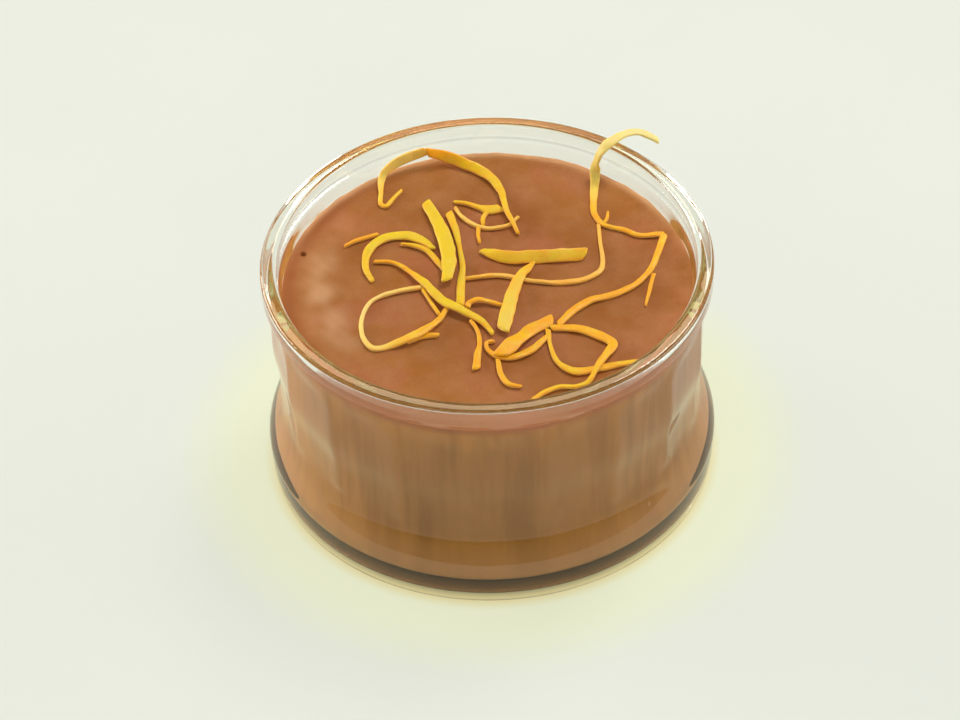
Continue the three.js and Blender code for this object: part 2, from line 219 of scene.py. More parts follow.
class DishSettings(bpy.types.PropertyGroup):
    """The glass dish: a flared foot on a low ring, a panelled waist and a beaded lip."""

    lip_radius: length("Lip radius", "From the axis to the outside of the lip", 44.65)
    lip_face_low: length("Lip face", "Height at which the lip's outer face begins", 47.0)
    lip_round: length("Lip rounding, outside", "Radius of the lip's outer edge", 0.8)
    lip_inner_round: length("Lip rounding, inside", "Radius of the lip's inner edge", 1.1)
    neck_radius: length("Neck radius", "Outside radius under the lip", 43.05)
    neck_height: length("Neck height", "Height of the neck", 45.8)
    shoulder_radius: length("Shoulder radius", "Outside radius at the shoulder", 43.0)
    shoulder_height: length("Shoulder height", "Height of the shoulder", 30.0)
    waist_radius: length("Waist radius", "Outside radius above the foot", 42.15)
    waist_height: length("Waist height", "Height at which the foot has swept into the waist", 17.0)
    foot_radius: length("Foot radius", "Outside radius at the foot's widest", 45.5)
    foot_height: length("Foot height", "Height of the foot's widest ring", 7.7)
    base_radius: length("Base radius", "Outer radius of the flat of the foot ring", 44.1)
    base_round: length("Base rounding", "Radius of the foot ring's outer edge", 1.0)
    ring_radius: length("Foot ring radius", "Inner radius of the flat of the foot ring", 43.3)
    recess_radius: length("Recess radius", "Radius of the level glass inside the foot ring", 42.4)
    recess_height: length("Recess height", "Height of that glass above the table", 1.6)
    panels: bpy.props.IntProperty(
        name="Panels", description="Flat panels round the waist", default=18, min=6
    )
    panel_edge: number(
        "First panel edge",
        "Angle from the front to a panel's edge, counted towards +X",
        math.radians(13.5),
        subtype="ANGLE",
    )
    panel_flatness: number(
        "Panel flatness",
        "Distance of a panel's middle from the axis, as a share of the radius",
        0.992,
        subtype="FACTOR",
        min=0.9,
        max=1,
    )
    panel_fade: length("Panel fade", "Height over which the panels fade in and out", 3.0)
    panel_top: length("Panel top", "Height by which the panels have faded out", 42.8)
    floor_height: length("Hollow floor", "Height of the hollow's floor above the table", 3.2)
    corner_round: length("Hollow corner", "Radius between the hollow's wall and its floor", 1.6)
    hollow_floor_radius: length("Hollow radius, low", "Hollow's radius just above its corner", 39.3)
    hollow_fill_radius: length("Hollow radius, filling", "Hollow's radius where it starts to flare", 39.9)
    hollow_fill_height: length("Flare height", "Height at which the hollow starts to flare", 37.0)
    hollow_lip_radius: length("Hollow radius, lip", "Hollow's radius under the lip", 41.4)
    tint: colour("Glass tint", "Colour of light that the glass lets through", 255, 255, 253)
    depth: colour("Glass depth", "Colour that thick glass takes on", 226, 226, 200)


class MousseSettings(bpy.types.PropertyGroup):
    """The filling."""

    level: length("Level", "Height of the mousse's top above the table", 43.2)
    bite: length("Reach into the wall", "How far the mousse reaches into the glass", 0.25)
    swell: length("Swell", "Height of the slow swells of the top", 0.1)
    rim_climb: length("Climb", "How far the edge climbs the wall", 0.35)
    rim_climb_width: length("Climb width", "Width of the climbing edge", 2.2)
    brown: colour("Chocolate", "Main colour of the mousse", 161, 98, 37)
    deep_brown: colour("Deep chocolate", "Colour of its darker patches", 146, 83, 27)
    rosy: colour("Rosy chocolate", "Colour of its warmer patches", 162, 94, 54)
    # Colour of a darker band near the top's edge, at the left and in front.
    edge_brown: colour("Wet chocolate", "Colour of its wetter edge, left and front", 142, 78, 34)
    # This colour also paints light on the side's foot and a highlight along the back edge.
    foam: colour("Foam", "Colour of its paler, airier patches", 190, 141, 102)
    pressed: colour("Pressed", "Colour of its smooth side against the glass", 185, 131, 63)
    streak: colour("Streaks", "Colour of the upright streaks down its side", 153, 103, 44)


class ZestSettings(bpy.types.PropertyGroup):
    """The strips of citrus peel."""

    thickness: length("Thickness", "Thickness of a strip", 0.6)
    slant: number("Slant", "Slope of a strip's cut ends", 0.55, min=-1, max=1)
    lemon: colour("Lemon", "Outer colour of the lemon peel", 225, 189, 18)
    amber: colour("Amber", "Outer colour of the deeper peel", 238, 158, 8)
    pith: colour("Pith", "Colour of the peel's pale inner side", 242, 224, 150)


class StageSettings(bpy.types.PropertyGroup):
    """The floor, the light and the camera."""

    floor: colour("Floor", "Colour of the floor", 236, 239, 228)
    # Painted light: a yellower floor close to the dish stands for light that the glass casts round it.
    painted_glow_floor: colour("Floor by the dish", "Colour of the floor close to the dish", 241, 245, 214)
    # Painted light: a yellow floor under the glass foot stands for light that comes through the foot.
    painted_caustic_floor: colour("Floor under the foot", "Colour of the floor under the dish's foot", 236, 222, 162)
    sky: number("Surrounding light", "Strength of the light from all round", 0.36, min=0)
    key: power("Key light", "Power of the light behind on the right", 5.0)
    front: power("Front light", "Power of the light in front", 3.0)
    left: power("Left light", "Power of the low light on the left", 5.3)
    right: power("Right light", "Power of the low light on the right", 2.0)
    card: power("Card", "Power of the card that the front lip mirrors", 15.0)


# --------------------
# Materials
# --------------------

GLASS_INDEX = 1.5
GLASS_DENSITY = 32.0
SHADOW_TINT = (0.86, 0.88, 0.82)
FLOOR_GLOW = 0.74


def add_node(tree, kind, inputs=(), **settings):
    """Adds a shader node, sets its own settings, and fills or links its inputs by name or number."""
    node = tree.nodes.new(kind)
    for name, value in settings.items():
        setattr(node, name, value)
    for name, value in dict(inputs).items():
        if isinstance(value, bpy.types.NodeSocket):
            tree.links.new(value, node.inputs[name])
        else:
            node.inputs[name].default_value = value
    return node


def noise(tree, place, scale, detail=2.0, roughness=0.5):
    """The value of a noise texture."""
    inputs = {"Vector": place, "Scale": scale, "Detail": detail, "Roughness": roughness}
    return add_node(tree, "ShaderNodeTexNoise", inputs).outputs["Fac"]


def cells(tree, place, scale):
    """The distance to the nearest point of a cell texture."""
    inputs = {"Vector": place, "Scale": scale}
    return add_node(tree, "ShaderNodeTexVoronoi", inputs).outputs["Distance"]


def ramp(tree, value, low, high, to_low=0.0, to_high=1.0):
    """Carries a value from one range to another, smoothly and without leaving the second."""
    inputs = {"Value": value, "From Min": low, "From Max": high, "To Min": to_low, "To Max": to_high}
    node = add_node(tree, "ShaderNodeMapRange", inputs, interpolation_type="SMOOTHSTEP")
    return node.outputs["Result"]


def arithmetic(tree, operation, first, second):
    """One sum, product or other operation on two values."""
    return add_node(tree, "ShaderNodeMath", {0: first, 1: second}, operation=operation).outputs[0]


def times(tree, first, second):
    """The product of two values."""
    return arithmetic(tree, "MULTIPLY", first, second)


def mix_colours(tree, factor, first, second, blend="MIX"):
    """A mix of two colours, each a socket or three linear values."""
    first, second = (
        (*c, 1.0) if not isinstance(c, bpy.types.NodeSocket) else c for c in (first, second)
    )
    inputs = {0: factor, 6: first, 7: second}
    return add_node(tree, "ShaderNodeMix", inputs, data_type="RGBA", blend_type=blend).outputs[2]


def shaded(tree, base, value):
    """A colour times a value."""
    grey = add_node(tree, "ShaderNodeCombineColor", {0: value, 1: value, 2: value}).outputs[0]
    return mix_colours(tree, 1.0, base, grey, "MULTIPLY")


def object_place(tree):
    """Object coordinates, which are metres in the frame, as every piece stands at the origin."""
    return add_node(tree, "ShaderNodeTexCoord").outputs["Object"]


def mesh_value(tree, name):
    """A value that the mesh carries at its points."""
    return add_node(tree, "ShaderNodeAttribute", attribute_name=name).outputs["Fac"]


def bump(tree, height, distance, strength=1.0, below=None):
    """A bump of a height map between 0 and 1, over another bump if one is given."""
    inputs = {"Height": height, "Distance": distance, "Strength": strength}
    if below is not None:
        inputs["Normal"] = below
    return add_node(tree, "ShaderNodeBump", inputs).outputs["Normal"]


def feed(tree, node, **sockets):
    """Links sockets to a node's inputs, with input names written with underscores."""
    for name, socket in sockets.items():
        tree.links.new(socket, node.inputs[name.replace("_", " ")])


def node_of_type(tree, kind):
    """The first node of a type that a new tree already holds."""
    return next(node for node in tree.nodes if node.type == kind)


def group_with(name, inputs, outputs):
    """An empty shader group with named value inputs and outputs, and its two end nodes."""
    tree = bpy.data.node_groups.new(name, "ShaderNodeTree")
    for label, default in inputs.items():
        socket = tree.interface.new_socket(label, in_out="INPUT", socket_type="NodeSocketFloat")
        socket.default_value = default
    for label in outputs:
        tree.interface.new_socket(label, in_out="OUTPUT", socket_type="NodeSocketFloat")
    return tree, tree.nodes.new("NodeGroupInput"), tree.nodes.new("NodeGroupOutput")


def mottle_group():
    """Uneven patches and fine grain: two noises of object coordinates, one coarse and one fine.

    Patches is the coarse noise with its contrast raised, and Grain is the fine one.
    """
    name = "Mottle"
    if name in bpy.data.node_groups:
        return bpy.data.node_groups[name]
    sizes = {"Patch Scale": 90.0, "Grain Scale": 2500.0}
    tree, given, result = group_with(name, sizes, ("Patches", "Grain"))
    place = object_place(tree)
    patches = ramp(tree, noise(tree, place, given.outputs["Patch Scale"], 4.0, 0.55), 0.34, 0.68)
    grain = noise(tree, place, given.outputs["Grain Scale"], 3.0, 0.6)
    feed(tree, result, Patches=patches, Grain=grain)
    return tree


def pores_group():
    """The oil pores of citrus peel: small round pits about the points of a cell texture.

    Pits is 0 in the middle of a pit and 1 between them. Pits of two sizes are multiplied together.
    """
    name = "Peel pores"
    if name in bpy.data.node_groups:
        return bpy.data.node_groups[name]
    tree, given, result = group_with(name, {"Scale": 1700.0}, ("Pits",))
    place, scale = object_place(tree), given.outputs["Scale"]
    coarse = ramp(tree, cells(tree, place, scale), 0.1, 0.42)
    fine = ramp(tree, cells(tree, place, times(tree, scale, 2.1)), 0.05, 0.4, 0.6, 1.0)
    feed(tree, result, Pits=times(tree, coarse, fine))
    return tree


def use_group(tree, group, **values):
    """Places a node group, with input names written with underscores."""
    node = add_node(tree, "ShaderNodeGroup", node_tree=group)
    for name, value in values.items():
        node.inputs[name.replace("_", " ")].default_value = value
    return node.outputs


def new_material(name, **plain):
    """A material, its tree and its Principled shader, with plain inputs set on the shader."""
    material = bpy.data.materials.new(name)
    material.use_nodes = True
    tree = material.node_tree
    shader = node_of_type(tree, "BSDF_PRINCIPLED")
    for label, value in plain.items():
        shader.inputs[label.replace("_", " ")].default_value = value
    return material, tree, shader


def glass_material(settings):
    """Clear pressed glass: a faint tint, soft waviness, and smudges that dull the gloss a little.

    It takes on a colour with depth. Rays to the lamps pass straight through it, dimmed by the
    shadow tint, so that the glass casts no black shadow.
    """
    material, tree, shader = new_material(
        "Clear glass",
        Base_Color=(*settings.tint, 1.0),
        Metallic=0.0,
        Transmission_Weight=1.0,
        IOR=GLASS_INDEX,
    )
    marks = use_group(tree, mottle_group(), Patch_Scale=60.0, Grain_Scale=900.0)
    waves = noise(tree, object_place(tree), 110.0, 1.0)
    feed(
        tree,
        shader,
        Roughness=ramp(tree, marks["Patches"], 0.0, 1.0, 0.008, 0.035),
        Normal=bump(tree, waves, 0.4 * MM, 0.2),
    )
    inputs = {"Color": (*settings.depth, 1.0), "Density": GLASS_DENSITY}
    depth = add_node(tree, "ShaderNodeVolumeAbsorption", inputs)
    clear = add_node(tree, "ShaderNodeBsdfTransparent", {"Color": (*SHADOW_TINT, 1.0)})
    shadow = add_node(tree, "ShaderNodeLightPath").outputs["Is Shadow Ray"]
    inputs = {0: shadow, 1: shader.outputs[0], 2: clear.outputs[0]}
    both = add_node(tree, "ShaderNodeMixShader", inputs)
    output = node_of_type(tree, "OUTPUT_MATERIAL")
    feed(tree, output, Surface=both.outputs[0], Volume=depth.outputs[0])
    return material


def mousse_material(settings):
    """Airy milk-chocolate foam: brown with darker and paler patches, fine bubbles and a soft sheen, and
    some painted light.
    """
    material, tree, shader = new_material(
        "Chocolate mousse",
        Subsurface_Weight=0.25,
        Subsurface_Radius=(1.0, 0.45, 0.2),
        Subsurface_Scale=0.8 * MM,
        Specular_IOR_Level=0.1,
    )
    place, bare = object_place(tree), mesh_value(tree, "bare")
    mottle = use_group(tree, mottle_group(), Patch_Scale=120.0, Grain_Scale=2600.0)
    broad = ramp(tree, noise(tree, place, 38.0, 3.0), 0.35, 0.68)
    brown = mix_colours(tree, broad, settings.deep_brown, settings.brown)
    warm = ramp(tree, noise(tree, place, 75.0, 3.0, 0.6), 0.42, 0.66)
    brown = mix_colours(tree, warm, brown, settings.rosy)
    brown = mix_colours(tree, times(tree, mottle["Patches"], 0.22), brown, settings.foam)
    brown = shaded(tree, brown, ramp(tree, mottle["Grain"], 0.3, 0.7, 0.93, 1.05))
    side = mix_colours(tree, 0.25, settings.pressed, brown)
    inputs = {"Vector": place, "Scale": (1.0, 1.0, 0.1)}
    upright = add_node(tree, "ShaderNodeMapping", inputs).outputs[0]
    streaks = ramp(tree, noise(tree, upright, 190.0, 4.0, 0.62), 0.36, 0.64, 0.0, 0.8)
    side = mix_colours(tree, streaks, side, settings.streak)
    brown = mix_colours(tree, bare, side, brown)
    # A darker band near the top's edge, at the left and in front.
    brown = mix_colours(tree, mesh_value(tree, "wet"), brown, settings.edge_brown)
    # Mixes in the foam colour: foamy patches, and painted light on the side's foot and at the back edge.
    brown = mix_colours(tree, times(tree, mesh_value(tree, "foam"), 0.85), brown, settings.foam)
    soft = bump(tree, times(tree, mottle["Grain"], bare), 0.12 * MM, 0.6)
    bubbles = times(tree, ramp(tree, cells(tree, place, 900.0), 0.0, 0.28), bare)
    feed(
        tree,
        shader,
        Base_Color=brown,
        Roughness=ramp(tree, mottle["Patches"], 0.0, 1.0, 0.5, 0.66),
        Normal=bump(tree, bubbles, 0.08 * MM, 0.45, soft),
    )
    return material


def zest_material(name, settings, ripeness_shift):
    """Citrus peel: yellow to amber along the strip, pale pith below and at the edges, pored and moist; the
    pale edges are partly a painted highlight.
    """
    material, tree, shader = new_material(
        name,
        Subsurface_Weight=0.35,
        Subsurface_Radius=(1.0, 0.6, 0.12),
        Subsurface_Scale=0.7 * MM,
        Specular_IOR_Level=0.2,
        Coat_Weight=0.06,
        Coat_Roughness=0.25,
    )
    mottle = use_group(tree, mottle_group(), Patch_Scale=420.0, Grain_Scale=5000.0)
    pores = use_group(tree, pores_group(), Scale=2100.0)
    ripe = arithmetic(tree, "ADD", mesh_value(tree, "ripeness"), ripeness_shift)
    uneven = times(tree, arithmetic(tree, "SUBTRACT", mottle["Patches"], 0.5), 0.3)
    ripe = ramp(tree, arithmetic(tree, "ADD", ripe, uneven), 0.0, 1.0)
    skin = mix_colours(tree, ripe, settings.lemon, settings.amber)
    in_pit = times(tree, ramp(tree, pores["Pits"], 0.0, 1.0, 1.0, 0.0), 0.3)
    skin = mix_colours(tree, in_pit, skin, settings.amber)
    pale = times(tree, mesh_value(tree, "pith"), 0.9)
    soft = bump(tree, mottle["Grain"], 0.05 * MM, 0.5)
    feed(
        tree,
        shader,
        Base_Color=mix_colours(tree, pale, skin, settings.pith),
        Roughness=ramp(tree, mottle["Patches"], 0.0, 1.0, 0.34, 0.55),
        Normal=bump(tree, pores["Pits"], 0.07 * MM, 0.7, soft),
    )
    return material


def floor_material(settings):
    """A plain pale floor with a barely uneven finish, with painted light and shade about the dish.

    Close to the dish a painted yellow glow, and under the foot painted yellow light, stand for light
    that the glass casts. Under the dish the floor's own light fades out, as painted shade. It gives off
    most of its light itself, so that it looks plain and even.
    """
    plain = {"Specular_IOR_Level": 0.1, "Emission_Strength": FLOOR_GLOW}
    material, tree, shader = new_material("Pale floor", **plain)
    mottle = use_group(tree, mottle_group(), Patch_Scale=9.0, Grain_Scale=700.0)
    inputs = {0: object_place(tree)}
    away = add_node(tree, "ShaderNodeVectorMath", inputs, operation="LENGTH").outputs["Value"]
    # Painted light: a yellow glow on the floor close to the dish, for light cast through the glass.
    painted_glow = ramp(tree, away, 51 * MM, 69 * MM, 1.0, 0.0)
    floor = mix_colours(tree, painted_glow, settings.floor, settings.painted_glow_floor)
    # Painted light: yellow light under the glass foot, fading out just beyond the foot's edge.
    past_painted_caustic = ramp(tree, away, 43.5 * MM, 47.5 * MM)
    floor = mix_colours(tree, past_painted_caustic, settings.painted_caustic_floor, floor)
    # Painted shade: the floor gives off no light under the dish, which stands for the dish's shadow.
    past_painted_shade = ramp(tree, away, 35 * MM, 45 * MM)
    feed(
        tree,
        shader,
        Base_Color=shaded(tree, floor, ramp(tree, mottle["Patches"], 0.0, 1.0, 0.19, 0.2)),
        Emission_Color=mix_colours(tree, past_painted_shade, (0.0, 0.0, 0.0), floor),
        Roughness=ramp(tree, mottle["Grain"], 0.0, 1.0, 0.6, 0.75),
    )
    return material


# --------------------
# The dish
# --------------------

POINTS_PER_PANEL = 20


def hollow_wall(dish, reach, top, count):
    """The hollow's outline from height top down to its floor, moved outwards by reach.

    The wall is a straight slope up to the filling's edge, above which it flares out to the lip along
    three squares less two cubes of the way up. The corner is a quarter circle down to the floor.
    """
    foot = dish.floor_height + dish.corner_round
    heights = np.linspace(top, foot, count, endpoint=False)
    ends = [dish.hollow_floor_radius, dish.hollow_fill_radius]
    radii = np.interp(heights, [foot, dish.hollow_fill_height], ends)
    flare = smoothstep(heights, dish.hollow_fill_height, DISH_TOP - dish.lip_inner_round)
    radii += (dish.hollow_lip_radius - dish.hollow_fill_radius) * flare
    wall = np.column_stack([radii + reach, heights])
    centre = (dish.hollow_floor_radius - dish.corner_round, foot)
    return np.vstack([wall, arc(centre, dish.corner_round + reach, 0, -90, 14)])


def sweep(low, high, count):
    """Points from low to high (radius, height) along half a cosine wave that is upright at both ends."""
    t = np.linspace(0, 1, count)
    blend = 0.5 - 0.5 * np.cos(np.pi * t)
    return np.column_stack([low[0] + (high[0] - low[0]) * blend, low[1] + (high[1] - low[1]) * t])


def dish_outline(dish):
    """The dish's outline as (radius, height), from the recess under it, up the outside and down inside.

    The recess steps down to a flat ring. The foot sweeps into the waist, the wall rises to the neck
    along a smooth curve and sweeps out to the lip, which is two quarter circles and a level stretch.
    A point close to each end of the step keeps the flats beside it flat under smooth shading.
    """
    step = np.linspace((dish.recess_radius, dish.recess_height), (dish.ring_radius, 0), 8)
    recess_edge = (dish.recess_radius - 0.15 * MM, dish.recess_height)
    ring_edge = (dish.ring_radius + 0.1 * MM, 0)
    base_corner = arc((dish.base_radius, dish.base_round), dish.base_round, -90, 0, 8)
    foot = (dish.foot_radius, dish.foot_height)
    waist = (dish.waist_radius, dish.waist_height)
    shoulder = (dish.shoulder_radius, dish.shoulder_height)
    neck = (dish.neck_radius, dish.neck_height)
    lower_middle = (waist[0], (waist[1] + shoulder[1]) / 2)
    upper_middle = ((shoulder[0] + neck[0]) / 2, (shoulder[1] + neck[1]) / 2)
    body, _ = smooth_curve([waist, lower_middle, shoulder, upper_middle, neck], 40)
    under_lip = sweep(neck, (dish.lip_radius, dish.lip_face_low), 10)
    lip_centre = (dish.lip_radius - dish.lip_round, DISH_TOP - dish.lip_round)
    lip_out = arc(lip_centre, dish.lip_round, 0, 90, 12)
    lip_height = DISH_TOP - dish.lip_inner_round
    lip_centre = (dish.hollow_lip_radius + dish.lip_inner_round, lip_height)
    lip_in = arc(lip_centre, dish.lip_inner_round, 90, 180, 14)
    inside = hollow_wall(dish, 0, lip_height, 40)
    under = [recess_edge, step, ring_edge, base_corner]
    outside = [sweep(foot, waist, 26), body[1:], under_lip[1:]]
    return np.vstack([*under, *outside, lip_out, lip_in, inside[1:]])


def flatten_panels(rings, dish):
    """Draws the outside of the waist onto the flats of an even polygon.

    A point's distance from the axis is scaled by the flatness over the cosine of its angle from the
    panel's middle. The scaling fades in above the foot and out under the lip.
    """
    x, y, z = rings[..., 0], rings[..., 1], rings[..., 2]
    outside = np.hypot(x, y) > dish.hollow_lip_radius + 0.5 * MM
    half = dish.panel_fade / 2
    fade_in = smoothstep(z, dish.waist_height - half, dish.waist_height + half)
    fade_out = smoothstep(z, dish.panel_top - dish.panel_fade, dish.panel_top)
    panel = 2 * np.pi / dish.panels
    from_edge = np.mod(np.arctan2(x, -y) - dish.panel_edge, panel)
    flat = dish.panel_flatness / np.cos(from_edge - panel / 2)
    scale = np.where(outside, 1 + (flat - 1) * fade_in * (1 - fade_out), 1)
    rings[..., :2] *= scale[..., None]
    return rings


class DESSERT_OT_dish(bpy.types.Operator):
    """Makes the glass dish"""

    bl_idname = "dessert.dish"
    bl_label = "Glass Dish"

    def execute(self, context):
        dish = context.scene.dessert_dish
        around = POINTS_PER_PANEL * dish.panels
        angles = dish.panel_edge - np.pi / 2 + np.arange(around) * 2 * np.pi / around
        rings = flatten_panels(turn(dish_outline(dish), angles), dish)
        ends = [[0, 0, dish.recess_height], [0, 0, dish.floor_height]]
        points = np.vstack([rings.reshape(-1, 3), ends])
        piece = build_mesh("dish", points, *closed_faces(len(rings), around))
        piece.data.materials.append(glass_material(dish))
        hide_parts("glass_dish")
        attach(piece, "root")
        return {"FINISHED"}


# --------------------
# The mousse
# --------------------

PIT = (-36.6 * MM, 11.6 * MM)
PIT_RADIUS = 0.55 * MM
PIT_DEPTH = 0.9 * MM
SWEEP_RADIUS = 33.2 * MM
SWEEP_WIDTH = 3.4 * MM
SWEEP_HEIGHT = 0.16 * MM
AROUND_MOUSSE = 400
SIDE_RINGS = 26
TOP_RINGS = 163


def crescent(x, y):
    """The spoon's last sweep: a band round the left side, 0 to 1.

    It is a bell curve across the band, whose middle wavers, times a smooth rise and fall along it.
    """
    radius = np.hypot(x, y)
    turned = np.degrees(np.mod(np.arctan2(y, x), 2 * np.pi))
    along = smoothstep(turned, 148, 170) * (1 - smoothstep(turned, 200, 222))
    middle = SWEEP_RADIUS + 1.2 * MM * np.sin(np.radians(3 * turned))
    return np.exp(-(((radius - middle) / SWEEP_WIDTH) ** 2)) * along


def ragged_edge(x, y):
    """How strongly the edge clings to the wall: uneven round the dish, and stronger at the back."""
    radius = np.maximum(np.hypot(x, y), MM)
    turned = np.column_stack([x / radius, y / radius])
    ragged = 1 + 0.5 * unevenness(turned, 0.55, 5) + 0.3 * unevenness(turned, 0.13, 6)
    return ragged + 1.4 * smoothstep(turned[:, 1], 0.3, 1.0)


def mousse_rise(x, y, mousse, edge_radius):
    """How far the top stands above or below its level.

    The sum of slow swells, an uneven climb at the wall, soft lumps of three sizes, the spoon's
    sweep, and one burst bubble with a low rim.
    """
    swell = np.sin(x / (9 * MM) + 0.6) * np.cos(y / (11 * MM)) + np.sin((x + y) / (14 * MM) - 1.1)
    edge = edge_radius - np.hypot(x, y)
    climb = np.exp(-((edge / mousse.rim_climb_width) ** 2)) * ragged_edge(x, y)
    flat = np.column_stack([x, y])
    lumps = 0.05 * MM * unevenness(flat, 9 * MM, 11) + 0.022 * MM * unevenness(flat, 3.2 * MM, 12)
    fine = 0.008 * MM * unevenness(flat, 1.3 * MM, 13, 14)
    ridge = SWEEP_HEIGHT * crescent(x, y) * (1 + 0.6 * unevenness(flat, 5 * MM, 14))
    from_pit = np.hypot(x - PIT[0], y - PIT[1]) / PIT_RADIUS
    pit = -PIT_DEPTH * np.exp(-(from_pit**4)) + 0.07 * MM * np.exp(-((from_pit - 1.35) ** 2) * 8)
    return 0.5 * mousse.swell * swell + mousse.rim_climb * climb + lumps + fine + ridge + pit


def crowded(low, high, count, centre, width, share):
    """Rising values from low to high that stand closer together about a centre.

    Their spacing is the even one divided by one plus the share times a bell curve of that width.
    """
    fine = np.linspace(low, high, 4000)
    density = 1 + share * np.exp(-(((fine - centre) / width) ** 2))
    reach = np.concatenate([[0], np.cumsum((density[1:] + density[:-1]) / 2)])
    return np.interp(np.linspace(0, reach[-1], count), reach, fine)


def mousse_values(points, is_top, edge_radius, floor_height):
    """What the material reads at each point: foam and painted light, a darker edge, and bare, each 0 to 1.

    Bare is 1 on the top. The first value is the spoon's foamy sweep in uneven patches, pale foam along
    the edge at the back that also stands for a highlight there, and on the side a paler foot that
    fades upwards, which is painted light from the floor through the glass foot. The darker edge is a
    bell curve across a narrow band near the edge of the top, at the left and in front.
    """
    x, y, z = points.T
    flat = points[:, :2]
    patchy = 0.7 + 0.4 * unevenness(flat, 8 * MM, 21) + 0.1 * unevenness(flat, 3.4 * MM, 22, 16)
    edge = edge_radius - np.hypot(x, y)
    # Pale foam along the top's edge at the back, which is partly a painted highlight along that edge.
    clinging_foam_and_highlight = np.exp(-((edge / (1.0 * MM)) ** 2)) * ragged_edge(x, y) * smoothstep(y, 0, 30 * MM)
    # Painted light: the side is paler towards its foot, for light from the floor coming up through the
    # glass foot.
    low = 1 - smoothstep(z, floor_height + 0.5 * MM, floor_height + 11 * MM)
    foam = np.where(is_top, crescent(x, y) * patchy + 0.7 * clinging_foam_and_highlight, 0.6 * low).clip(0, 1)
    at_left, at_front = smoothstep(-x, 12 * MM, 34 * MM), smoothstep(-y, 12 * MM, 34 * MM)
    # A darker band near the top's edge, at the left and in front.
    wet = np.exp(-(((edge - 1.2 * MM) / (2.0 * MM)) ** 2)) * np.maximum(at_left, at_front) * is_top
    return {"foam": foam, "wet": wet, "bare": is_top}


class DESSERT_OT_mousse(bpy.types.Operator):
    """Makes the mousse, which reaches just into the wall of the dish"""

    bl_idname = "dessert.mousse"
    bl_label = "Chocolate Mousse"

    def execute(self, context):
        dish, mousse = context.scene.dessert_dish, context.scene.dessert_mousse
        side = hollow_wall(dish, mousse.bite, mousse.level, SIDE_RINGS)[::-1]
        edge_radius = side[-1, 0]
        pit_radius, pit_angle = math.hypot(*PIT), math.atan2(PIT[1], PIT[0])
        turn_of_pit = pit_angle % (2 * np.pi)
        angles = crowded(0, 2 * np.pi, AROUND_MOUSSE + 1, turn_of_pit, width=0.025, share=7)[:-1]
        radii = crowded(0, 1, TOP_RINGS + 2, pit_radius / edge_radius, width=0.02, share=3)
        radii = radii[1:-1][::-1] * edge_radius
        top = np.column_stack([radii, np.full(TOP_RINGS, mousse.level)])
        points = turn(np.vstack([side, top]), angles).reshape(-1, 3)
        points = np.vstack([points, [[0, 0, side[0, 1]], [0, 0, mousse.level]]])
        is_top = points[:, 2] > mousse.level - 1e-6
        x, y = points[:, 0], points[:, 1]
        points[:, 2] += np.where(is_top, mousse_rise(x, y, mousse, edge_radius), 0)
        faces = closed_faces(len(side) + TOP_RINGS, AROUND_MOUSSE)
        values = mousse_values(points, is_top, edge_radius, dish.floor_height)
        piece = build_mesh("mousse_filling", points, *faces, values)
        piece.data.materials.append(mousse_material(mousse))
        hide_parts("mousse")
        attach(piece, "root")
        return {"FINISHED"}


# --------------------
# The zest
# --------------------

